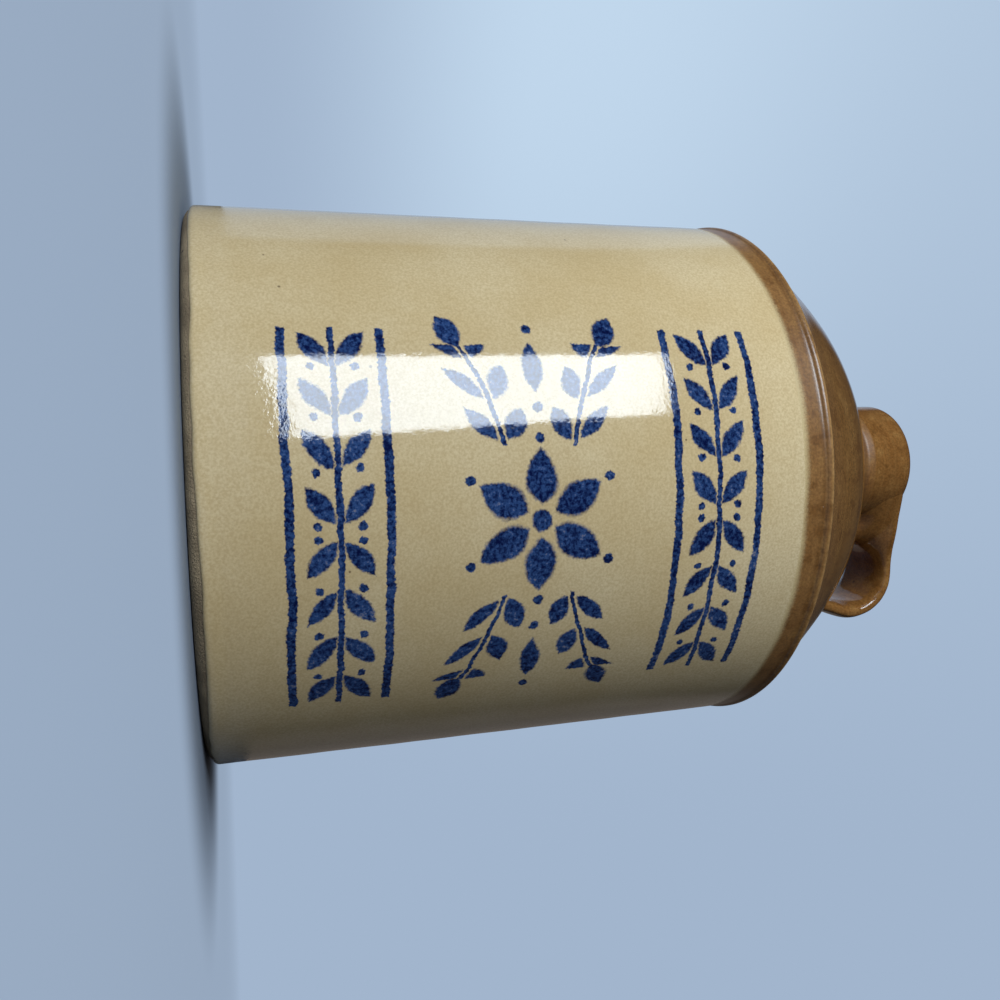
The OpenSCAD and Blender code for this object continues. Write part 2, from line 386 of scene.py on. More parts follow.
def turned(points: Sequence[Point], steps: int, closed: bool = True) -> Mesh:
    """A solid of revolution about Z.

    Args:
        points: The half section as (radius, height).
        steps: Number of spans round the axis.
        closed: Whether the section is a ring, which has no end on the axis.

    Returns:
        The new mesh, closed.
    """
    bm = bmesh.new()
    verts = [bm.verts.new((radius, 0, height)) for radius, height in points]
    edges = [bm.edges.new(pair) for pair in zip(verts, verts[1:])]
    if closed:
        edges.append(bm.edges.new((verts[-1], verts[0])))
    bmesh.ops.spin(bm, geom=[*verts, *edges], cent=(0, 0, 0), axis=(0, 0, 1), angle=math.tau,
                   steps=steps, use_merge=True)
    bmesh.ops.remove_doubles(bm, verts=bm.verts, dist=WELD)
    return bm


@dataclass
class ClayBody:
    """Turned clay of the crock: wall, floor and the bare foot that it stands on."""

    sizes: JugSizes
    calm_h: float = 4.0 * MM
    steps: int = 256
    hollow_steps: int = 12
    ring_steps: int = 5
    foot_steps: int = 12
    wall_steps: int = 24
    corner_steps: int = 8

    def build(self) -> Piece:
        """Makes the clay.

        Returns:
            The piece, closed at its axis.
        """
        s = self.sizes
        outer = s.wall_r - s.glaze
        bore = outer - s.clay
        ring_in = outer - s.foot_round - s.ring_w
        middle = (0.0, s.hollow)
        hollow_end = (ring_in - s.hollow, s.hollow)
        hollow = [middle, *run(middle, hollow_end, self.hollow_steps), hollow_end, (ring_in, 0.0)]
        foot = arc((outer - s.foot_round, s.foot_round), s.foot_round, -90, 0, self.foot_steps)
        ring = run((ring_in, 0.0), foot[0], self.ring_steps)
        wall = run(foot[-1], (outer, s.seam_z), self.wall_steps)
        corner = arc((bore - s.inner_round, s.floor + s.inner_round), s.inner_round, 0, -90,
                     self.corner_steps)
        points = [*hollow, *ring, *foot, *wall, (outer, s.seam_z), (bore, s.seam_z), *corner, (0.0, s.floor)]
        bm = turned(points, self.steps, closed=False)
        HandTurning().apply(bm, lambda co: ease(co.z / self.calm_h))
        return to_object("clay_body", bm, Body.JUG, Finish.CLAY, "crock_body")


@dataclass
class CreamCoat:
    """Cream glaze on the wall, from a wavering edge above the bare foot up to the brown glaze.

    The edge's points are given as distances out from the wall and up from the edge's lowest line.
    """

    sizes: JugSizes
    edge_z: float = 0.9 * MM
    edge_points: tuple[Point, ...] = ((-0.30 * MM, 0.0), (-0.14 * MM, 0.05 * MM), (-0.032 * MM, 0.18 * MM),
                                      (0.07 * MM, 0.45 * MM), (0.07 * MM, 0.8 * MM), (0.0, 1.6 * MM))
    edge_shift: float = 0.28 * MM
    edge_slow: float = 0.72 * MM
    edge_quick: float = 0.224 * MM
    slow_turns: float = 1.7
    quick_turns: float = 9.0
    edge_reach: float = 7.0 * MM
    inner_z: float = 0.3 * MM
    skin: float = 0.3 * MM
    foot_share: float = 0.95
    steps: int = 320
    wall_steps: int = 44
    inner_steps: int = 6

    def edge_rise(self, co: Vector) -> float:
        """How far the glaze edge lies above its lowest line.

        Args:
            co: A point of the coat.

        Returns:
            The rise where the point lies round the jug.
        """
        turn = math.atan2(co.y, co.x)
        way = Vector((math.cos(turn), math.sin(turn), 0.0))
        slow = noise.noise(way * self.slow_turns + Vector((0.0, 0.0, 3.0)))
        quick = noise.noise(way * self.quick_turns + Vector((0.0, 0.0, 7.0)))
        return self.edge_shift + self.edge_slow * slow + self.edge_quick * quick

    def build(self) -> Piece:
        """Makes the coat.

        Returns:
            The piece, a closed thin shell that follows the rounded foot.
        """
        s = self.sizes
        edge = [(s.wall_r + out, self.edge_z + up) for out, up in self.edge_points]
        top = (s.wall_r, s.border_z)
        inner_top = (s.wall_r - self.skin, s.border_z)
        inner_end = (s.wall_r - self.skin, self.edge_z + self.inner_z)
        points = [*edge, *run(edge[-1], top, self.wall_steps), top, inner_top,
                  *run(inner_top, inner_end, self.inner_steps), inner_end]
        bm = turned(points, self.steps)
        HandTurning().apply(bm)
        for vert in bm.verts:
            vert.co.z += self.edge_rise(vert.co) * (1 - ease((vert.co.z - self.edge_z) / self.edge_reach))
            below = min(max(s.foot_round - vert.co.z, 0.0), self.foot_share * s.foot_round)
            inward = s.foot_round - math.sqrt(s.foot_round ** 2 - below ** 2)
            vert.co.xy *= 1 - inward / vert.co.xy.length
        return to_object("cream_coat", bm, Body.JUG, Finish.CREAM, "cream_glaze")


@dataclass
class BrownCoat:
    """Brown glaze from the border up over the ridge, the shoulder, the neck and the lip."""

    sizes: JugSizes
    outline: Outline
    steps: int = 256
    skin: float = 0.3 * MM
    calm_r: float = 30.0 * MM
    calm_w: float = 15.0 * MM

    def build(self) -> Piece:
        """Makes the coat.

        Returns:
            The piece, a closed thin shell that wavers less towards the neck.
        """
        outer = self.outline.skin()
        bm = turned([*outer, *reversed(shifted(outer, self.skin))], self.steps)
        HandTurning().apply(bm, lambda co: ease((co.xy.length - self.calm_r) / self.calm_w))
        return to_object("brown_coat", bm, Body.JUG, Finish.BROWN, "brown_glaze")


@dataclass
class StrapHandle:
    """Pulled clay strap with a loop for one finger, luted to the lip and pressed onto the shoulder.

    Angles are in degrees. Lumps are pairs of waves for each metre and their height.
    """

    sizes: JugSizes
    outline: Outline
    turn: float = 6.0
    reach: float = 37.8 * MM
    strap_w: float = 15.5 * MM
    strap_t: float = 3.9 * MM
    strap_dip: float = 0.8 * MM
    dip_angle: float = 40.0
    bend_r: float = 9.3 * MM
    bend_angle: float = 109.0
    web_w: float = 12.3 * MM
    web_flare: float = 2.5 * MM
    web_rise: float = 2.0 * MM
    web_bottom: float = 134.0 * MM
    root_in: float = 9.0 * MM
    root_clear: float = 1.5 * MM
    root_flare: float = 7.0 * MM
    root_angle: float = 40.0
    drop_len: float = 19.0 * MM
    drop_sunk: float = 4.0 * MM
    foot_flare: float = 6.0 * MM
    foot_swell: float = 2.2 * MM
    foot_share: float = 0.8
    fillet: float = 1.5 * MM
    lip_fillet: float = 7.3 * MM
    lip_side: float = 7.5 * MM
    lip_zone: float = 12.0 * MM
    lip_ease_share: float = 0.4
    least_tangent: float = 0.35
    tuck: float = 0.35 * MM
    squareness: float = 2.9
    inset: float = 0.1 * MM
    lumps: tuple[Point, ...] = ((130.0, 0.16 * MM), (330.0, 0.05 * MM))
    trace_steps: int = 720
    around: int = 160
    web_steps: int = 44
    corner_steps: int = 96
    bend_steps: int = 56
    drop_steps: int = 72
    smooth_rounds: int = 10
    smooth_zone: float = 1.6 * MM

    def __post_init__(self) -> None:
        """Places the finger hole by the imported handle's reach and top."""
        self.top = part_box("strap_handle")[1][2]
        self.hole = np.array([self.reach - self.strap_t / 2 - self.bend_r,
                              self.top - self.strap_t / 2 - self.bend_r])
        self.hole_r = self.bend_r - self.strap_t / 2
        self.outer_r = self.bend_r + self.strap_t / 2

    def section(self, inner: np.ndarray, outer: np.ndarray, inner_w: float, outer_w: float) -> np.ndarray:
        """Evenly spaced points round a rounded box.

        Args:
            inner: Middle of the box on the hole's side, as (x, z).
            outer: Middle of the box on the far side.
            inner_w: Width at the inner end.
            outer_w: Width at the outer end.

        Returns:
            One point in each row.
        """
        angles = np.linspace(0, math.tau, self.trace_steps + 1)
        power = 2 / self.squareness
        along = np.sign(np.sin(angles)) * np.abs(np.sin(angles)) ** power
        across = np.sign(np.cos(angles)) * np.abs(np.cos(angles)) ** power
        share = (1 + along) / 2
        middle = inner + share[:, None] * (outer - inner)
        width = inner_w + share * (outer_w - inner_w)
        points = np.stack([middle[:, 0], across * width / 2, middle[:, 1]], axis=1)
        length = np.concatenate([[0], np.linalg.norm(np.diff(points, axis=0), axis=1).cumsum()])
        wanted = np.linspace(0, length[-1], self.around + 1)[:-1]
        return np.stack([np.interp(wanted, length, points[:, k]) for k in range(3)], axis=1)

    def web_section(self, height: float) -> np.ndarray:
        """Section of the web between the neck and the hole.

        Args:
            height: Height of the section.

        Returns:
            Its points.
        """
        hole_x, hole_z = self.hole
        neck_z = self.sizes.neck_z
        spread = 1 - ease((height - neck_z + self.web_rise) / (hole_z - neck_z))
        face = hole_x - self.hole_r + self.web_flare * spread ** 2
        inner, outer = (np.array([x, height]) for x in (face, self.root_in))
        return self.section(inner, outer, self.web_w, self.web_w)

    def spoke(self, angle: float) -> np.ndarray:
        """Section on a ray from the hole's middle.

        Args:
            angle: Direction of the ray: 180 degrees meets the neck, 90 the strap's top.

        Returns:
            Its points.
        """
        way = np.array([math.cos(math.radians(angle)), math.sin(math.radians(angle))])
        reach = self.outer_r
        rise = 1.0
        if angle > 90:
            crest = self.outer_r - self.strap_dip * ease((angle - 90) / self.dip_angle)
            reach = 1 / max(way[1] / crest, -way[0] / (self.hole[0] - self.root_in))
            rise = ease((180 - angle) / self.root_angle)
        flare = ease(reach * way[0] / (self.sizes.lip_r - self.hole[0]))
        top_w = self.strap_w + self.root_flare * flare
        inner_w = self.web_w + (self.strap_w - self.web_w) * ease(2 - angle / 90)
        outer_w = inner_w + rise * (top_w - inner_w)
        return self.section(self.hole + self.hole_r * way, self.hole + reach * way, inner_w, outer_w)

    def drop_section(self, share: float) -> np.ndarray:
        """Section of the strap's straight run, which ends under the shoulder's surface.

        Args:
            share: Share of the run that lies above the section.

        Returns:
            Its points.
        """
        turn = math.radians(90 - self.bend_angle)
        side = np.array([math.cos(turn), math.sin(turn)])
        way = np.array([side[1], -side[0]])
        middle = self.hole + self.bend_r * side + share * self.drop_len * way
        near = share * self.drop_len / (self.drop_len - self.drop_sunk)
        far = ease((near - 1) / self.foot_share + 1)
        half = (self.strap_t + self.foot_swell * far) / 2
        width = self.strap_w + self.foot_flare * far
        return self.section(middle - half * side, middle + half * side, width, width)

    def sections(self) -> list[np.ndarray]:
        """Lines up all sections.

        Returns:
            The sections from the web's foot up to the hole, round it and down to the strap's foot.
        """
        web = np.linspace(self.web_bottom, self.hole[1], self.web_steps + 1)[:-1]
        corner = np.linspace(180, 90, self.corner_steps + 1)[:-1]
        bend = np.linspace(90, 90 - self.bend_angle, self.bend_steps + 1)
        drop = np.linspace(0, 1, self.drop_steps + 1)[1:]
        return [*(self.web_section(z) for z in web), *(self.spoke(a) for a in (*corner, *bend)),
                *(self.drop_section(t) for t in drop)]

    def loft(self) -> Mesh:
        """Rolls a grid into a tube through the sections.

        Returns:
            The new mesh, with both ends filled.
        """
        rings = self.sections()
        bm = bmesh.new()
        bmesh.ops.create_grid(bm, x_segments=self.around, y_segments=len(rings) - 1, size=1)
        for vert in bm.verts:
            column = round((vert.co.x + 1) / 2 * self.around) % self.around
            row = round((vert.co.y + 1) / 2 * (len(rings) - 1))
            vert.co = rings[row][column]
        bmesh.ops.remove_doubles(bm, verts=bm.verts, dist=WELD)
        bmesh.ops.holes_fill(bm, edges=[e for e in bm.edges if e.is_boundary], sides=0)
        bmesh.ops.recalc_face_normals(bm, faces=bm.faces)
        bm.normal_update()
        return bm

    def spread(self, points: np.ndarray, normals: np.ndarray, depth: np.ndarray,
               jug: np.ndarray) -> np.ndarray:
        """Movement that rounds the strap out where it meets the jug, widest beside the lip.

        Args:
            points: Points of the strap, one in each row.
            normals: Normals of the strap at the points.
            depth: Distance of the points from the jug.
            jug: Normals of the jug nearest the points.

        Returns:
            The movement of each point.
        """
        lip_start = self.sizes.rim_z - self.lip_zone
        high = np.clip((points[:, 2] - lip_start) / (self.lip_ease_share * self.lip_zone), 0, 1)
        high *= high * (3 - 2 * high)
        flare = rounding(depth, self.fillet) * (1 - high * np.clip(normals[:, 2], 0, 1))
        tangent = normals - (normals * jug).sum(1, keepdims=True) * jug
        tangent /= np.maximum(np.linalg.norm(tangent, axis=1, keepdims=True), self.least_tangent)
        beside = np.clip(points[:, 1] / self.lip_side, -1, 1)
        aside = rounding(depth, self.lip_fillet) * high * beside * np.abs(beside)
        radius = np.maximum(np.hypot(points[:, 0], points[:, 1]), MM)
        around = np.stack([-points[:, 1] / radius, points[:, 0] / radius, 0 * radius], axis=1)
        return flare[:, None] * tangent + aside[:, None] * around

    def lute(self, bm: Mesh) -> None:
        """Spreads the strap onto the jug, tucks what is hidden under the glaze and smooths the joint.

        Args:
            bm: The strap's mesh.
        """
        points = np.array([v.co for v in bm.verts])
        normals = np.array([v.normal for v in bm.verts])
        depth, jug = self.outline.depth(points)
        points = points + self.spread(points, normals, depth, jug)
        moved, jug = self.outline.depth(points)
        wanted = np.where(depth > 0, depth, np.maximum(depth, -self.tuck))
        points = points + (wanted - moved)[:, None] * jug
        points[:, 2] = np.minimum(points[:, 2], self.top)
        radius = np.hypot(points[:, 0], points[:, 1])
        points[:, :2] *= np.maximum((self.sizes.mouth_r + self.root_clear) / radius, 1)[:, None]
        for vert, point in zip(bm.verts, points):
            vert.co = point
        near = [v for v, off in zip(bm.verts, wanted) if off < self.smooth_zone]
        for _ in range(self.smooth_rounds):
            bmesh.ops.smooth_vert(bm, verts=near, factor=0.5, use_axis_x=True, use_axis_y=True,
                                  use_axis_z=True)
        bm.normal_update()

    def build(self) -> Piece:
        """Makes the handle with the slight unevenness of pulled clay.

        Returns:
            The piece, turned a little round the jug.
        """
        bm = self.loft()
        self.lute(bm)
        bmesh.ops.rotate(bm, verts=bm.verts, cent=(0, 0, 0),
                         matrix=Matrix.Rotation(math.radians(self.turn), 3, "Z"))
        for vert in bm.verts:
            lump = sum(height * noise.noise(vert.co * scale) for scale, height in self.lumps)
            vert.co -= vert.normal * (self.inset + lump)
        return to_object("strap_handle_glazed", bm, Body.JUG, Finish.BROWN, "strap_handle")


@dataclass
class CorkStopper:
    """Tapered cork, pressed into the mouth and lifted out along the jug's axis."""

    taper_share: float = 0.8 / 17
    edge: float = 1.1 * MM
    pore_depth: float = 0.16 * MM
    pore_scale: float = 900.0
    pore_start: Triple = (4.0, 1.0, 8.0)
    pore_from: float = 0.25
    pore_fade: float = 0.3
    steps: int = 160
    edge_steps: int = 6
    bottom_steps: int = 12
    side_steps: int = 24
    top_steps: int = 16

    def build(self) -> Piece:
        """Makes the cork with small chips where its pores open.

        Returns:
            The piece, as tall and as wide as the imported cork.
        """
        low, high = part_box("cork_stopper")
        top_r = radius_of("cork_stopper")
        low_r = top_r - self.taper_share * (high[2] - low[2])
        bottom = arc((low_r - self.edge, low[2] + self.edge), self.edge, -90, 0, self.edge_steps)
        top = arc((top_r - self.edge, high[2] - self.edge), self.edge, 0, 90, self.edge_steps)
        start, end = (0.0, low[2]), (0.0, high[2])
        points = [start, *run(start, bottom[0], self.bottom_steps), *bottom,
                  *run(bottom[-1], top[0], self.side_steps), *top, *run(top[-1], end, self.top_steps), end]
        bm = turned(points, self.steps, closed=False)
        bmesh.ops.recalc_face_normals(bm, faces=bm.faces)
        bm.normal_update()
        for vert in bm.verts:
            pore = noise.noise(vert.co * self.pore_scale + Vector(self.pore_start))
            vert.co -= vert.normal * self.pore_depth * ease((pore - self.pore_from) / self.pore_fade)
        return to_object("cork", bm, Body.STOPPER, Finish.CORK, "cork_stopper")


class Graph:
    """A node tree being wired, with a short call for each kind of node."""

    def __init__(self, tree: Tree) -> None:
        """Starts on the node tree of a material, a world or a group."""
        self.tree = tree

    def feed(self, socket: Socket, value: Value) -> None:
        """Links a socket to an input, or sets the input's plain value.

        Args:
            socket: The input.
            value: The socket or the value. A colour may have three numbers.
        """
        if isinstance(value, Socket):
            self.tree.links.new(value, socket)
        elif isinstance(value, tuple) and socket.type == "RGBA" and len(value) == 3:
            socket.default_value = (*value, 1.0)
        else:
            socket.default_value = value

    def node(self, kind: str, inputs: dict[str | int, Value] | None = None,
             **settings: object) -> bpy.types.Node:
        """Adds a node.

        Args:
            kind: The node's type name, without its ShaderNode prefix.
            inputs: Values or sockets for its inputs, by name or number.
            settings: Properties of the node.

        Returns:
            The node.
        """
        added = self.tree.nodes.new("ShaderNode" + kind)
        for name, value in settings.items():
            setattr(added, name, value)
        for key, value in (inputs or {}).items():
            self.feed(added.inputs[key], value)
        return added

    def math(self, operation: str, a: Value, b: Value = 0.0, c: Value = 0.0, clamp: bool = False) -> Socket:
        """Result of a Math node."""
        return self.node("Math", {0: a, 1: b, 2: c}, operation=operation, use_clamp=clamp).outputs[0]

    def times(self, a: Value, b: Value) -> Socket:
        """Product of two values."""
        return self.math("MULTIPLY", a, b)

    def minus(self, a: Value, b: Value) -> Socket:
        """First value less the second."""
        return self.math("SUBTRACT", a, b)

    def along(self, value: Value, slope: Value, start: Value) -> Socket:
        """Value times a slope, plus a start."""
        return self.math("MULTIPLY_ADD", value, slope, start)

    def off(self, value: Value, level: Value) -> Socket:
        """Distance of a value from a level."""
        return self.math("ABSOLUTE", self.minus(value, level))

    def fall(self, value: Value, reach: float, clamp: bool = False) -> Socket:
        """1 where a value is zero, falling to 0 at a reach."""
        return self.math("MULTIPLY_ADD", value, -1 / reach, 1.0, clamp)

    def length(self, vector: Value) -> Socket:
        """Length of a vector."""
        return self.node("VectorMath", {0: vector}, operation="LENGTH").outputs["Value"]

    def split(self, vector: Value) -> tuple[Socket, ...]:
        """X, Y and Z of a vector, or the three values of a colour."""
        return tuple(self.node("SeparateXYZ", {0: vector}).outputs)

    def join(self, x: Value = 0.0, y: Value = 0.0, z: Value = 0.0) -> Socket:
        """A vector of three values."""
        return self.node("CombineXYZ", {0: x, 1: y, 2: z}).outputs[0]

    def noise(self, vector: Value, scale: Value, detail: float = 2.0, roughness: float = 0.5,
              output: str = "Fac") -> Socket:
        """Noise of about 0 to 1 at a scale in cycles for each unit of the vector."""
        return self.node("TexNoise", {"Vector": vector, "Scale": scale, "Detail": detail,
                                      "Roughness": roughness}).outputs[output]

    def cells(self, vector: Value, scale: Value) -> tuple[Socket, Socket, Socket]:
        """Scattered cells.

        Args:
            vector: Place on the surface.
            scale: Cells for each unit of the vector.

        Returns:
            The distance from the middle of the nearest cell, and two random values of 0 to 1 for the cell.
        """
        cell = self.node("TexVoronoi", {"Vector": vector, "Scale": scale})
        first, second, _ = self.split(cell.outputs["Color"])
        return cell.outputs["Distance"], first, second

    def step(self, value: Value, low: Value, high: Value, out_low: float = 0.0,
             out_high: float = 1.0) -> Socket:
        """Smooth step of a value between two levels."""
        return self.node("MapRange", {0: value, 1: low, 2: high, 3: out_low, 4: out_high},
                         interpolation_type="SMOOTHSTEP").outputs[0]

    def mix(self, factor: Value, a: Value, b: Value, blend: str = "MIX") -> Socket:
        """Mix of two colours.

        Args:
            factor: Share of the second colour.
            a: First colour.
            b: Second colour.
            blend: How they are mixed.

        Returns:
            The mixed colour.
        """
        mixed = self.node("Mix", data_type="RGBA", blend_type=blend)
        for key, value in (("Factor", factor), (6, a), (7, b)):
            self.feed(mixed.inputs[key], value)
        return mixed.outputs[2]

    def tinted(self, colour: Value, tint: Value, mask: Socket, share: float) -> Socket:
        """A colour with a share of a tint where a mask lies."""
        return self.mix(self.times(mask, share), colour, tint)

    def lit(self, colour: Value, level: Socket) -> Socket:
        """A colour made lighter or darker by a level, where 1 leaves it."""
        return self.mix(1.0, colour, self.join(level, level, level), "MULTIPLY")

    def group(self, tree: Tree, **inputs: Value) -> tuple[Socket, ...]:
        """Adds a shared node group.

        Args:
            tree: The group.
            inputs: Values or sockets for its inputs.

        Returns:
            Its outputs.
        """
        return tuple(self.node("Group", inputs, node_tree=tree).outputs)

    def place(self) -> Socket:
        """Object coordinates of the surface, in millimetres."""
        place = self.node("TexCoord").outputs["Object"]
        return self.node("VectorMath", {0: place, "Scale": 1 / MM}, operation="SCALE").outputs["Vector"]

    def bump(self, height: Value, distance: float) -> Socket:
        """Normal of a height of 0 to 1 that stands for a distance in metres."""
        return self.node("Bump", {"Height": height, "Distance": distance, "Strength": 1.0}).outputs[0]


def shared_group(name: str, inputs: dict[str, float | None], outputs: Sequence[str],
                 kind: str = "Float") -> tuple[Graph, dict, dict]:
    """Starts a node group.

    Args:
        name: Name of the group.
        inputs: Names of its inputs with their plain values; None stands for a vector.
        outputs: Names of its outputs.
        kind: Kind of its outputs, Float or Color.

    Returns:
        The graph of its tree, the sockets of its inputs and the sockets that take its outputs.
    """
    tree = bpy.data.node_groups.new(name, "ShaderNodeTree")
    for key, value in inputs.items():
        form = "NodeSocketVector" if value is None else "NodeSocketFloat"
        socket = tree.interface.new_socket(key, in_out="INPUT", socket_type=form)
        if value is not None:
            socket.default_value = value
    for key in outputs:
        tree.interface.new_socket(key, in_out="OUTPUT", socket_type="NodeSocket" + kind)
    start = tree.nodes.new("NodeGroupInput")
    end = tree.nodes.new("NodeGroupOutput")
    return (Graph(tree), {key: start.outputs[key] for key in inputs},
            {key: end.inputs[key] for key in outputs})


def fired_grain() -> Tree:
    """Makes the group of a sandy grain and a slow clouding, as fired clay and glaze have.

    Returns:
        The group, whose outputs Grain and Cloud are both 0 to 1.
    """
    graph, given, out = shared_group("fired_grain", {"Place": None, "Grain": 2.6, "Cloud": 0.06},
                                     ("Grain", "Cloud"))
    fine = graph.noise(given["Place"], given["Grain"], detail=3.0, roughness=0.62)
    slow = graph.noise(given["Place"], given["Cloud"], detail=4.0, roughness=0.55)
    graph.feed(out["Grain"], graph.step(fine, 0.28, 0.72))
    graph.feed(out["Cloud"], graph.step(slow, 0.3, 0.7))
    return graph.tree


def kiln_specks(least: float = 0.4, most: float = 1.2) -> Tree:
    """Makes the group of sparse round specks that burnt through the glaze.

    Args:
        least: Least size of a speck, as a share of the group's Size.
        most: Greatest size of a speck.

    Returns:
        The group, whose output is a mask.
    """
    graph, given, out = shared_group(
        "kiln_specks", {"Place": None, "Spacing": 0.2, "Size": 0.3, "Share": 0.15}, ("Mask",))
    away, chance, large = graph.cells(given["Place"], given["Spacing"])
    size = graph.times(given["Size"], graph.along(large, most - least, least))
    fade = graph.math("DIVIDE", away, graph.times(size, given["Spacing"]))
    shown = graph.math("LESS_THAN", chance, given["Share"])
    graph.feed(out["Mask"], graph.times(shown, graph.step(fade, 0.6, 1.25, 1.0, 0.0)))
    return graph.tree


def glaze_ripple(fine_share: float = 0.4, pit_depth: float = 3.0) -> Tree:
    """Makes the group of the faint pebbled ripple and the pinholes of a fired glaze.

    Args:
        fine_share: Share of the fine ripple, where the wide one has the rest.
        pit_depth: Depth of a pinhole, as a multiple of the ripple's height.

    Returns:
        The group, whose output is a height.
    """
    graph, given, out = shared_group("glaze_ripple", {"Place": None, "Ripple": 0.85, "Pinholes": 0.1},
                                     ("Height",))
    wide = graph.noise(given["Place"], given["Ripple"], roughness=0.45)
    fine = graph.noise(given["Place"], 2.4)
    away, chance, _ = graph.cells(given["Place"], 0.42)
    shown = graph.math("LESS_THAN", chance, given["Pinholes"])
    hole = graph.times(shown, graph.step(away, 0.02, 0.085, 1.0, 0.0))
    surface = graph.along(fine, fine_share, graph.times(wide, 1 - fine_share))
    graph.feed(out["Height"], graph.along(hole, -pit_depth, surface))
    return graph.tree


def glaze_border(grain: float = 1.5, wander: float = 1.6) -> Tree:
    """Makes the group of the soft grainy step between the two glazes.

    Args:
        grain: Height of the border's grain in millimetres.
        wander: How far the border wanders up and down in millimetres.

    Returns:
        The group, whose output is 0 in the cream glaze and 1 in the brown one.
    """
    graph, given, out = shared_group("glaze_border", {"Place": None, "Level": 102.7, "Width": 1.5},
                                     ("Brown",))
    height = graph.split(given["Place"])[2]
    height = graph.along(graph.noise(given["Place"], 3.2, detail=3.0, roughness=0.7), grain, height)
    height = graph.along(graph.noise(given["Place"], 0.07), wander, height)
    share = graph.math("DIVIDE", graph.minus(height, given["Level"]), given["Width"])
    graph.feed(out["Brown"], graph.step(share, 0.9, 2.0))
    return graph.tree


@dataclass(frozen=True)
class Mark:
    """A pointed leaf or a dot of the design: its place, half sizes and turn in millimetres and degrees."""

    u: float
    v: float
    long: float
    wide: float
    turn: float = 0.0


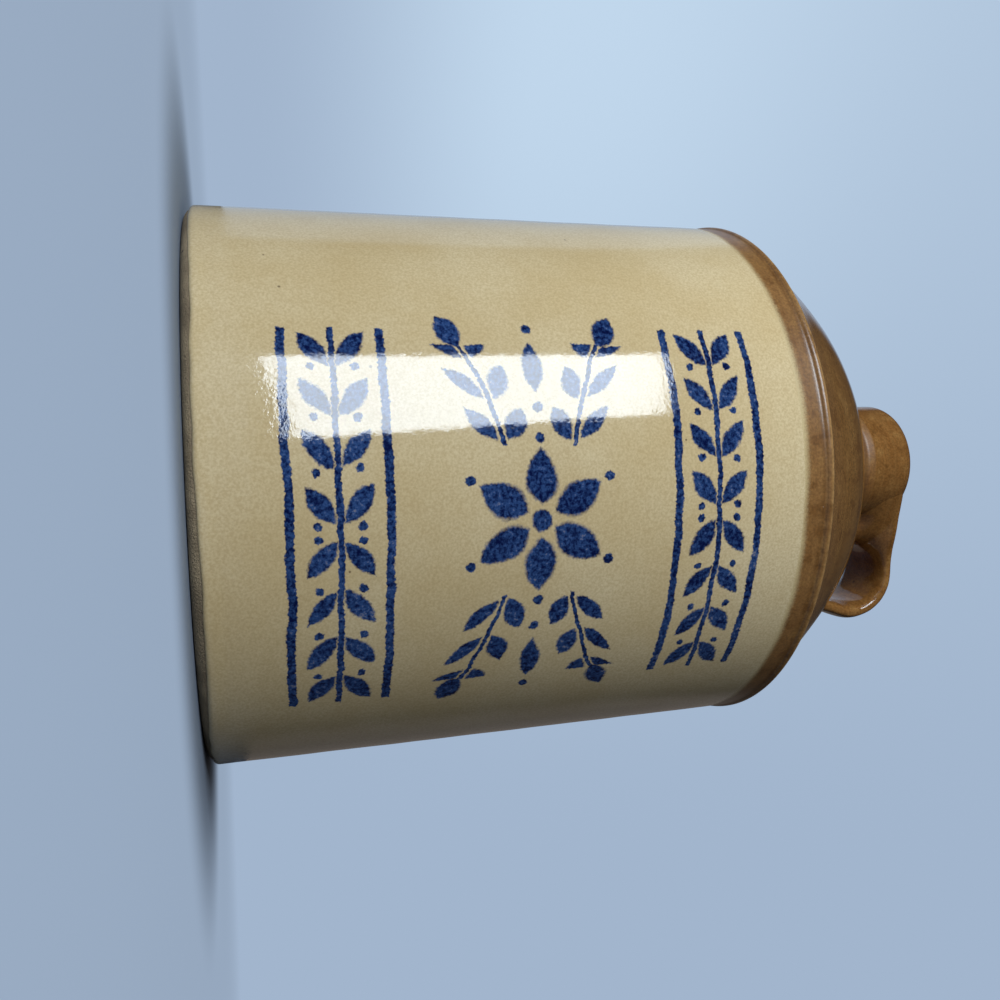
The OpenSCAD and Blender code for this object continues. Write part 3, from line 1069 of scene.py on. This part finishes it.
@dataclass
class CobaltDesign:
    """Brushed ornament in cobalt on the wall's front: leafy borders, and a flower with four curved sprays.

    Sizes are in millimetres on the unrolled wall, with heights from the foot. A shape is a value above
    zero inside it. Marks of a border or a spray are placed along and off its stem.
    """

    wall_r: float
    centre_turn: float = 8.0
    border_levels: tuple[float, float] = (22.0, 86.0)
    border_half: float = 7.6
    border_pitch: float = 8.15
    border_end: float = 32.6
    border_stem: float = 0.55
    border_rule: float = 0.75
    border_leaf: Mark = Mark(0.2, 2.9, 3.9, 1.75, 38.0)
    border_berry: Mark = Mark(-3.0, 3.4, 0.75, 0.75)
    flower_z: float = 54.0
    petals: int = 6
    petal: Mark = Mark(7.2, 0.0, 4.9, 3.0)
    seed: Mark = Mark(13.6, 0.0, 0.95, 0.95)
    heart: float = 1.9
    spray_from: float = 15.6
    spray_to: float = 29.6
    spray_rise: float = 0.0085
    spray_gap: float = 4.6
    spray_pitch: float = 7.0
    spray_stem: float = 0.42
    spray_leaf: Mark = Mark(0.2, 2.8, 3.6, 1.7, 36.0)
    bud: Mark = Mark(2.4, 1.0, 3.4, 2.2, 28.0)
    side_leaf: Mark = Mark(25.6, 0.0, 4.6, 1.9)
    side_dots: tuple[Mark, Mark] = (Mark(18.6, 0.0, 0.95, 0.95), Mark(32.4, 0.0, 0.95, 0.95))
    bleed: float = 0.8
    waver_side: float = 1.6
    waver_up: float = 1.2

    def __post_init__(self) -> None:
        """Starts the node group."""
        self.graph, self.given, self.out = shared_group("cobalt_design", {"Place": None}, ("Ink", "Thin"))

    def mapped(self, u: Value, v: Value, mark: Mark) -> Socket:
        """A point in the units of a mark that has its own place, turn and size."""
        return self.graph.node("Mapping", {"Vector": self.graph.join(u, v), "Location": (mark.u, mark.v, 0.0),
                                           "Rotation": (0.0, 0.0, math.radians(mark.turn)),
                                           "Scale": (mark.long, mark.wide, 1.0)},
                               vector_type="TEXTURE").outputs[0]

    def leaf(self, u: Value, v: Value, mark: Mark) -> Socket:
        """Shape of a pointed leaf.

        Args:
            u: Distance along the stem.
            v: Distance from the stem.
            mark: The leaf.

        Returns:
            The shape.
        """
        along, across, _ = self.graph.split(self.mapped(u, v, mark))
        body = self.graph.along(self.graph.times(along, along), -1.0, 1.0)
        return self.graph.minus(body, self.graph.math("ABSOLUTE", across))

    def dot(self, u: Value, v: Value, mark: Mark) -> Socket:
        """Shape of a round dot."""
        return self.graph.minus(1.0, self.graph.length(self.mapped(u, v, mark)))

    def joined(self, *shapes: Socket) -> Socket:
        """Several shapes as one.

        Args:
            shapes: The shapes.

        Returns:
            The highest of their values.
        """
        result = shapes[0]
        for shape in shapes[1:]:
            result = self.graph.math("MAXIMUM", result, shape)
        return result

    def repeated(self, value: Value, pitch: float) -> Socket:
        """A value that starts again after each pitch, from half a pitch below zero to half above."""
        return self.graph.math("WRAP", value, pitch / 2, -pitch / 2)

    def border(self, m: Value, z: Value, level: float) -> Socket:
        """Shape of a band of paired leaves on a stem between two plain rules.

        Args:
            m: Distance from the design's middle.
            z: Height.
            level: Height of the stem.

        Returns:
            The shape.
        """
        graph = self.graph
        cell = graph.minus(graph.math("MODULO", m, self.border_pitch), self.border_pitch / 2)
        away = graph.off(z, level)
        band = self.joined(graph.fall(away, self.border_stem), self.leaf(cell, away, self.border_leaf),
                           self.dot(cell, away, self.border_berry),
                           graph.fall(graph.off(away, self.border_half), self.border_rule))
        return graph.math("MINIMUM", band, graph.minus(self.border_end, m))

    def flower(self, s: Value, z: Value) -> Socket:
        """Shape of a round flower of broad petals with a dot beyond each.

        Args:
            s: Distance to the side of the design's middle.
            z: Height.

        Returns:
            The shape.
        """
        graph = self.graph
        height = graph.minus(z, self.flower_z)
        away = graph.length(graph.join(s, height))
        turn = self.repeated(graph.math("ARCTAN2", height, s), math.tau / self.petals)
        across = graph.times(turn, away)
        return self.joined(self.leaf(away, across, self.petal), graph.fall(away, self.heart),
                           self.dot(away, across, self.seed))

    def sprays(self, m: Value, z: Value) -> Socket:
        """Shape of four leafy sprays that curve away from the flower, with a leaf and dots on each side.

        Args:
            m: Distance from the design's middle.
            z: Height.

        Returns:
            The shape.
        """
        graph = self.graph
        height = graph.off(z, self.flower_z)
        off = graph.off(height, graph.along(graph.times(m, m), self.spray_rise, self.spray_gap))
        start = graph.minus(m, self.spray_from)
        stem = self.joined(graph.fall(off, self.spray_stem),
                           self.leaf(self.repeated(start, self.spray_pitch), off, self.spray_leaf))
        span = graph.math("MINIMUM", graph.math("ADD", start, self.spray_pitch / 2),
                          graph.minus(self.spray_to, m))
        tip_z = self.spray_gap + self.spray_rise * (self.spray_to + 1) ** 2
        bud = replace(self.bud, u=self.spray_to + self.bud.u, v=tip_z + self.bud.v)
        return self.joined(graph.math("MINIMUM", stem, span), self.leaf(m, height, bud),
                           self.leaf(m, height, self.side_leaf),
                           *(self.dot(m, height, mark) for mark in self.side_dots))

    def moved(self, value: Socket, by: Socket, amount: float) -> Socket:
        """A value moved up or down by a noise, at most by half of an amount."""
        return self.graph.along(self.graph.minus(by, 0.5), amount, value)

    def build(self) -> Tree:
        """Makes the design.

        Returns:
            The group, whose outputs are an ink mask with a bled edge and how thin the colour lies.
        """
        graph = self.graph
        place = self.given["Place"]
        x, y, z = graph.split(place)
        turn = graph.minus(graph.math("ARCTAN2", x, graph.times(y, -1.0)), math.radians(self.centre_turn))
        bleed_s, bleed_z, _ = graph.split(graph.noise(place, 1.9, output="Color"))
        waver_s, waver_z, _ = graph.split(graph.noise(place, 0.16, output="Color"))
        s = self.moved(graph.times(turn, self.wall_r), bleed_s, self.bleed)
        s = self.moved(s, waver_s, self.waver_side)
        z = self.moved(self.moved(z, bleed_z, self.bleed), waver_z, self.waver_up)
        m = graph.math("ABSOLUTE", s)
        shape = self.joined(*(self.border(m, z, level) for level in self.border_levels),
                            self.flower(s, z), self.sprays(m, z))
        thin = graph.noise(place, 1.5, detail=3.0, roughness=0.65)
        thin = graph.along(graph.noise(place, 0.13), 0.35, thin)
        cover = graph.step(thin, 0.78, 0.95, 1.0, 0.7)
        graph.feed(self.out["Ink"], graph.times(graph.step(shape, -0.06, 0.24), cover))
        graph.feed(self.out["Thin"], graph.step(thin, 0.5, 0.86))
        return graph.tree


@dataclass(frozen=True)
class BrownTone:
    """Colour of the brown glaze: pale on the ridge, where the glaze thins and a painted highlight lies, and
    dark in the groove under it, where the glaze pools and painted shade lies.

    Heights are in millimetres, those with a name of up or down from the ridge.
    """

    grain: Tree
    ridge: float
    neck: float
    wall: Colour = linear(137, 96, 54)
    shoulder: Colour = linear(125, 86, 42)
    collar: Colour = linear(127, 84, 41)
    # The paler crest colour is partly thin glaze and partly a painted highlight; the darker pool colour is
    # partly pooled glaze and partly painted shade.
    crest: Colour = linear(187, 145, 92)
    pool_and_shade: Colour = linear(97, 62, 29)
    streak: Colour = linear(158, 115, 64)
    dark: Colour = linear(94, 56, 22)
    pale: Colour = linear(160, 118, 66)
    cloud: Colour = linear(106, 68, 31)
    shoulder_up: float = 9.0
    collar_low: float = 3.0
    collar_high: float = 5.0
    crest_and_highlight_up: float = 0.65
    crest_and_highlight_half: float = 0.6
    pool_and_shade_down: float = 0.95
    pool_and_shade_half: float = 0.7

    def build(self) -> Tree:
        """Makes the colour.

        Returns:
            The group.
        """
        graph, given, out = shared_group("brown_tone", {"Place": None}, ("Colour",), "Color")
        place = given["Place"]
        x, y, z = graph.split(place)
        colour = graph.mix(graph.step(z, self.ridge, self.ridge + self.shoulder_up), self.wall, self.shoulder)
        rise = graph.step(z, self.neck - self.collar_low, self.neck + self.collar_high)
        colour = graph.mix(rise, colour, self.collar)
        waver = graph.along(graph.noise(place, 0.3), 0.5, z)
        # Paler along the ridge's crest: partly thinner glaze, partly a painted highlight.
        crest = graph.fall(graph.off(waver, self.ridge + self.crest_and_highlight_up), self.crest_and_highlight_half, clamp=True)
        colour = graph.tinted(colour, self.crest, crest, 0.75)
        # Darker in the groove under the ridge: partly pooled glaze, partly painted shade.
        pool_and_shade = graph.fall(graph.off(waver, self.ridge - self.pool_and_shade_down), self.pool_and_shade_half, clamp=True)
        colour = graph.tinted(colour, self.pool_and_shade, pool_and_shade, 0.6)
        turn = graph.math("ARCTAN2", y, x)
        streak = graph.noise(graph.join(graph.times(turn, 1.4), 0.0, graph.times(z, 0.9)), 1.0, 4.0, 0.6)
        colour = graph.mix(graph.step(streak, 0.35, 0.7, 0.0, 0.32), colour, self.streak)
        blotch = graph.noise(place, 0.23, detail=4.0, roughness=0.6)
        colour = graph.mix(graph.step(blotch, 0.52, 0.66, 0.0, 0.5), colour, self.dark)
        colour = graph.mix(graph.step(blotch, 0.46, 0.34, 0.0, 0.4), colour, self.pale)
        grain, cloud = graph.group(self.grain, Place=place, Grain=2.1, Cloud=0.11)
        colour = graph.tinted(colour, self.cloud, cloud, 0.25)
        graph.feed(out["Colour"], graph.lit(colour, graph.along(grain, 0.56, 0.88)))
        return graph.tree


@dataclass
class SharedEffects:
    """Node groups that more than one finish uses."""

    sizes: JugSizes

    def __post_init__(self) -> None:
        """Builds each group once."""
        self.grain = fired_grain()
        self.specks = kiln_specks()
        self.ripple = glaze_ripple()
        self.border = glaze_border()
        self.cobalt = CobaltDesign(self.sizes.wall_r / MM).build()
        self.brown = BrownTone(self.grain, self.sizes.ridge_z / MM, self.sizes.neck_z / MM).build()


class Surface:
    """A material being built: its graph and its Principled shader."""

    def __init__(self, name: str) -> None:
        """Makes the material with nothing but a shader and an output.

        Args:
            name: Name of the material.
        """
        self.material = bpy.data.materials.new(name)
        self.material.use_nodes = True
        self.graph = Graph(self.material.node_tree)
        self.shader = self.material.node_tree.nodes["Principled BSDF"]

    def set(self, **values: Value) -> None:
        """Sets or links inputs of the shader, by their names with underscores for spaces."""
        for name, value in values.items():
            self.graph.feed(self.shader.inputs[name.replace("_", " ")], value)


@dataclass(frozen=True)
class Coating:
    """What the finishes share: the node groups, and how a material is started and ended."""

    effects: SharedEffects

    finish: ClassVar[Finish]

    def build(self) -> bpy.types.Material:
        """Makes the material.

        Returns:
            The material, named after its slot.
        """
        surface = Surface(self.finish.value)
        self.paint(surface, surface.graph, surface.graph.place())
        return surface.material

    def paint(self, surface: Surface, graph: Graph, place: Socket) -> None:
        """Wires the looks of the material, which each finish does in its own way.

        Args:
            surface: The material.
            graph: Its graph.
            place: Place on the surface in millimetres.
        """
        raise NotImplementedError


@dataclass(frozen=True)
class CreamGlaze(Coating):
    """Glossy cream glaze with sandy grain, a few specks, the cobalt design under it, and painted light that
    makes it paler towards the top of the wall.
    """

    finish = Finish.CREAM
    pale: Colour = linear(225, 202, 158)
    warm: Colour = linear(215, 189, 141)
    sand: Colour = linear(177, 143, 92)
    speck: Colour = linear(88, 62, 40)
    ink: Colour = linear(5, 18, 62)
    ink_thin: Colour = linear(54, 84, 134)
    # Painted light: the cream's colour is scaled up with height, palest at the top of the wall.
    painted_light_low: float = 1.01
    painted_light_rise: float = 0.18
    painted_light_height: float = 100.0
    ripple: float = 0.018 * MM

    def paint(self, surface: Surface, graph: Graph, place: Socket) -> None:
        """Wires the cream glaze, the design in it and the brown glaze's edge over it.

        Args:
            surface: The material.
            graph: Its graph.
            place: Place on the surface in millimetres.
        """
        effects = self.effects
        grain, cloud = graph.group(effects.grain, Place=place, Grain=2.5, Cloud=0.05)
        colour = graph.tinted(graph.mix(cloud, self.pale, self.warm), self.sand, grain, 0.45)
        # Painted light: the colour is brightened with the square of the height up the wall.
        height = graph.math("MULTIPLY", graph.split(place)[2], 1 / self.painted_light_height, clamp=True)
        colour = graph.lit(colour, graph.along(graph.times(height, height), self.painted_light_rise, self.painted_light_low))
        specks, = graph.group(effects.specks, Place=place, Spacing=0.16, Size=0.26, Share=0.28)
        colour = graph.tinted(colour, self.speck, specks, 0.75)
        ink, thin = graph.group(effects.cobalt, Place=place)
        colour = graph.mix(ink, colour, graph.mix(thin, self.ink, self.ink_thin))
        brown, = graph.group(effects.border, Place=place, Level=effects.sizes.border_z / MM)
        colour = graph.mix(brown, colour, graph.group(effects.brown, Place=place)[0])
        ripple, = graph.group(effects.ripple, Place=place, Ripple=0.8, Pinholes=0.05)
        surface.set(Base_Color=colour, Roughness=0.05, IOR=GLAZE_IOR, Normal=graph.bump(ripple, self.ripple))


@dataclass(frozen=True)
class BrownGlaze(Coating):
    """Glossy brown glaze, grainy and streaked, less shiny on the wall and satin at the lip's lower edge.

    Levels are in millimetres, from the ridge, from the lip's lower edge and from the lip's side.
    """

    finish = Finish.BROWN
    cream: Colour = linear(219, 192, 140)
    speck: Colour = linear(48, 30, 18)
    wall_rough: float = 0.3
    rough: float = 0.09
    satin: float = 0.45
    rough_from: float = 1.2
    rough_to: float = 3.0
    satin_down: float = 0.6
    satin_near: float = 1.4
    satin_far: float = 2.8
    satin_in: float = 0.2
    satin_out: float = 1.2
    ripple: float = 0.022 * MM

    def roughness(self, graph: Graph, place: Socket) -> Socket:
        """How rough the glaze is.

        Args:
            graph: Graph of the material.
            place: Place on the surface in millimetres.

        Returns:
            The roughness.
        """
        sizes = self.effects.sizes
        x, y, height = graph.split(place)
        ridge = sizes.ridge_z / MM
        plain = graph.step(height, ridge + self.rough_from, ridge + self.rough_to, self.wall_rough,
                           self.rough)
        lip_low = (sizes.rim_z - sizes.lip_h) / MM
        lip_r = sizes.lip_r / MM
        level = graph.off(height, lip_low - self.satin_down)
        satin = graph.math("MINIMUM", graph.step(level, self.satin_near, self.satin_far, self.satin, 0.0),
                           graph.step(graph.length(graph.join(x, y)), lip_r + self.satin_in,
                                      lip_r + self.satin_out, self.satin, 0.0))
        return graph.math("MAXIMUM", plain, satin)

    def paint(self, surface: Surface, graph: Graph, place: Socket) -> None:
        """Wires the brown glaze, with the cream one showing at its lower border.

        Args:
            surface: The material.
            graph: Its graph.
            place: Place on the surface in millimetres.
        """
        effects = self.effects
        brown, = graph.group(effects.border, Place=place, Level=effects.sizes.border_z / MM)
        colour = graph.mix(brown, self.cream, graph.group(effects.brown, Place=place)[0])
        specks, = graph.group(effects.specks, Place=place, Spacing=0.14, Size=0.4, Share=0.3)
        colour = graph.tinted(colour, self.speck, specks, 0.8)
        ripple, = graph.group(effects.ripple, Place=place, Ripple=0.6, Pinholes=0.12)
        surface.set(Base_Color=colour, Roughness=self.roughness(graph, place), IOR=GLAZE_IOR,
                    Normal=graph.bump(ripple, self.ripple))


@dataclass(frozen=True)
class BareClay(Coating):
    """Unglazed fired clay, matt and sandy."""

    finish = Finish.CLAY
    body: Colour = linear(172, 150, 118)
    dark: Colour = linear(122, 104, 80)
    grit: Colour = linear(62, 50, 40)
    sand: float = 0.08 * MM

    def paint(self, surface: Surface, graph: Graph, place: Socket) -> None:
        """Wires the clay with dark grit in it.

        Args:
            surface: The material.
            graph: Its graph.
            place: Place on the surface in millimetres.
        """
        grain, cloud = graph.group(self.effects.grain, Place=place, Grain=3.0, Cloud=0.12)
        colour = graph.tinted(graph.mix(cloud, self.body, self.dark), self.dark, grain, 0.4)
        specks, = graph.group(self.effects.specks, Place=place, Spacing=0.5, Size=0.3, Share=0.3)
        surface.set(Base_Color=graph.mix(specks, colour, self.grit),
                    Roughness=graph.step(grain, 0.0, 1.0, 0.72, 0.92), Normal=graph.bump(grain, self.sand))


@dataclass(frozen=True)
class LinerGlaze(Coating):
    """Dark glaze inside the jug."""

    finish = Finish.LINER
    body: Colour = linear(96, 66, 40)
    dark: Colour = linear(62, 40, 24)
    ripple: float = 0.03 * MM

    def paint(self, surface: Surface, graph: Graph, place: Socket) -> None:
        """Wires the glaze.

        Args:
            surface: The material.
            graph: Its graph.
            place: Place on the surface in millimetres.
        """
        grain, cloud = graph.group(self.effects.grain, Place=place, Grain=1.6, Cloud=0.08)
        colour = graph.tinted(graph.mix(cloud, self.body, self.dark), self.dark, grain, 0.3)
        ripple, = graph.group(self.effects.ripple, Place=place, Ripple=0.5, Pinholes=0.1)
        surface.set(Base_Color=colour, Roughness=0.12, IOR=GLAZE_IOR, Normal=graph.bump(ripple, self.ripple))


@dataclass(frozen=True)
class CorkBark(Coating):
    """Natural cork: pale brown bark with darker pores and short streaks."""

    finish = Finish.CORK
    body: Colour = linear(196, 154, 104)
    dark: Colour = linear(150, 106, 64)
    pore: Colour = linear(82, 52, 30)
    streak_scale: Triple = (0.35, 1.6, 1.2)
    chips: float = 0.12 * MM

    def paint(self, surface: Surface, graph: Graph, place: Socket) -> None:
        """Wires the bark, its streaks and its pores.

        Args:
            surface: The material.
            graph: Its graph.
            place: Place on the surface in millimetres.
        """
        grain, cloud = graph.group(self.effects.grain, Place=place, Grain=1.8, Cloud=0.25)
        colour = graph.mix(cloud, self.body, self.dark)
        stretched = graph.node("Mapping", {"Vector": place, "Scale": self.streak_scale}).outputs[0]
        streaks = graph.step(graph.noise(stretched, 1.0, detail=3.0, roughness=0.6), 0.58, 0.72, 0.0, 0.75)
        colour = graph.mix(streaks, colour, self.pore)
        specks, = graph.group(self.effects.specks, Place=place, Spacing=0.6, Size=0.5, Share=0.4)
        colour = graph.tinted(graph.tinted(colour, self.pore, specks, 0.8), self.dark, grain, 0.3)
        surface.set(Base_Color=colour, Roughness=graph.step(grain, 0.0, 1.0, 0.62, 0.85),
                    Normal=graph.bump(grain, self.chips))


@dataclass
class Studio:
    """Pale floor, backdrop, window light and the camera.

    Spans are pairs of levels between which one colour of the surroundings gives way to the next, on a
    direction's X, Y or Z or on how steeply it rises.
    """

    floor: Colour = linear(146, 160, 180)
    backdrop: Colour = linear(162, 181, 205)
    backdrop_high: Colour = linear(193, 215, 236)
    table: Colour = (0.33, 0.43, 0.57)
    table_low: Colour = (0.145, 0.127, 0.118)
    room: Colour = (0.024, 0.023, 0.025)
    floor_size: float = 4.0
    floor_drop: float = 0.1 * MM
    fade_from: float = 0.055
    fade_near: float = 0.09
    fade_to: float = 0.32
    near_share: float = 0.8
    side_span: Point = (-0.12, 0.12)
    back_span: Point = (0.34, 0.44)
    back_low_span: Point = (0.38, 0.60)
    steep_span: Point = (0.88, 1.2)
    steep_low: float = 0.2
    steep_least: float = 0.05
    high_side_span: Point = (0.40, -0.48)
    rise_span: Point = (0.02, 0.32)
    fall_span: Point = (0.36, 0.74)
    fall_share: float = 0.45
    window_at: Triple = (-0.7834, -1.15, 0.4499)
    window_right: Triple = (0.6949, -0.7159, 0.0681)
    window_up: Triple = (-0.3095, -0.2122, 0.9269)
    window_size: Point = (0.736, 0.826)
    window_power: float = 24.4
    window_colour: Colour = (0.80, 0.90, 1.0)
    eye: Triple = (0.0, -0.190, 0.00724)
    right: Triple = (0.0358, -0.2808, 0.9591)
    up: Triple = (-0.9990, 0.0153, 0.0417)
    lens: float = 32.4
    sensor: float = 36.0
    clip_start: float = 0.01

    def placed(self, at: Triple, right: Triple, up: Triple) -> Matrix:
        """Place of a light or a camera.

        Args:
            at: Where it stands.
            right: Direction of its X axis.
            up: Direction close to its Y axis.

        Returns:
            The matrix of its object.
        """
        x_axis = Vector(right).normalized()
        z_axis = x_axis.cross(Vector(up)).normalized()
        turn = Matrix((x_axis, z_axis.cross(x_axis), z_axis)).transposed().to_4x4()
        return Matrix.Translation(at) @ turn

    def build_floor(self) -> None:
        """Makes the floor, which keeps the jug's shadow near it and fades to the backdrop further out."""
        bm = bmesh.new()
        bmesh.ops.create_grid(bm, x_segments=1, y_segments=1, size=self.floor_size / 2)
        mesh = bpy.data.meshes.new("floor")
        bm.to_mesh(mesh)
        bm.free()
        mesh.transform(Matrix.Translation((0, 0, -self.floor_drop)))
        floor = add_object("floor", mesh)
        surface = Surface("floor")
        graph = surface.graph
        surface.set(Base_Color=self.floor, Roughness=0.9)
        away = graph.length(graph.node("TexCoord").outputs["Object"])
        near = graph.step(away, self.fade_from, self.fade_near, 0.0, self.near_share)
        far = graph.step(away, self.fade_near, self.fade_to, 0.0, 1 - self.near_share)
        seen = graph.node("LightPath").outputs["Is Camera Ray"]
        glow = graph.node("Emission", {"Color": self.backdrop, "Strength": 1.0})
        mixed = graph.node("MixShader", {0: graph.times(graph.math("ADD", near, far), seen),
                                         1: surface.shader.outputs[0], 2: glow.outputs[0]})
        end = surface.material.node_tree.nodes["Material Output"]
        graph.feed(end.inputs["Surface"], mixed.outputs[0])
        mesh.materials.append(surface.material)

    def build_world(self) -> None:
        """Makes the surroundings: a pale side behind the jug, a dim room before it and a plain backdrop."""
        world = bpy.data.worlds.new("room")
        bpy.context.scene.world = world
        world.use_nodes = True
        graph = Graph(world.node_tree)
        x, y, z = graph.split(graph.node("TexCoord").outputs["Generated"])
        side = graph.step(x, *self.side_span)
        table = graph.mix(side, self.table, self.table_low)
        back = graph.mix(side, graph.step(y, *self.back_span), graph.step(y, *self.back_low_span))
        steep = graph.math("DIVIDE", z, graph.math("MAXIMUM", y, self.steep_least))
        under = graph.step(graph.along(side, self.steep_low, steep), *self.steep_span, 1.0, 0.0)
        lit = graph.mix(graph.times(back, under), self.room, table)
        rise = graph.times(graph.step(x, *self.high_side_span), graph.step(z, *self.rise_span))
        fall = graph.step(z, *self.fall_span, 1.0, self.fall_share)
        seen = graph.mix(graph.times(rise, fall), self.backdrop, self.backdrop_high)
        camera = graph.node("LightPath").outputs["Is Camera Ray"]
        graph.feed(world.node_tree.nodes["Background"].inputs["Color"], graph.mix(camera, lit, seen))

    def build_window(self) -> None:
        """Makes the window that lights the jug and shows in its glaze."""
        light = bpy.data.lights.new("window", "AREA")
        light.shape = "RECTANGLE"
        light.size, light.size_y = self.window_size
        light.energy = self.window_power
        light.color = self.window_colour
        lamp = add_object("window", light)
        lamp.matrix_world = self.placed(self.window_at, self.window_right, self.window_up)

    def build_camera(self) -> None:
        """Makes the camera, turned on its side as the jug was photographed."""
        camera = bpy.data.cameras.new("camera")
        camera.lens = self.lens
        camera.sensor_width = self.sensor
        camera.clip_start = self.clip_start
        holder = add_object("camera", camera)
        holder.matrix_world = self.placed(self.eye, self.right, self.up)
        bpy.context.scene.camera = holder

    def build(self) -> None:
        """Makes everything round the jug."""
        self.build_floor()
        self.build_world()
        self.build_window()
        self.build_camera()
        bpy.context.scene.view_settings.view_transform = "Standard"


def dress(piece: Piece, material: bpy.types.Material) -> None:
    """Gives a piece or a CAD node one material."""
    piece.data.materials.clear()
    piece.data.materials.append(material)


def main() -> None:
    """Builds the jug, its finishes and the studio."""
    sizes = JugSizes()
    outline = Outline(sizes)
    effects = SharedEffects(sizes)
    clay = BareClay(effects).build()
    brown = BrownGlaze(effects).build()
    made = ((ClayBody(sizes).build(), clay),
            (CreamCoat(sizes).build(), CreamGlaze(effects).build()),
            (BrownCoat(sizes, outline).build(), brown),
            (StrapHandle(sizes, outline).build(), brown),
            (CorkStopper().build(), CorkBark(effects).build()))
    for piece, material in made:
        dress(piece, material)
        log.info("%s: %d faces", piece.name, len(piece.data.polygons))
    for node in ("shoulder_dome", "neck_collar"):
        dress(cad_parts[node], clay)
    dress(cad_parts["liner_glaze"], LinerGlaze(effects).build())
    Studio().build()


if __name__ == "__main__":
    main()
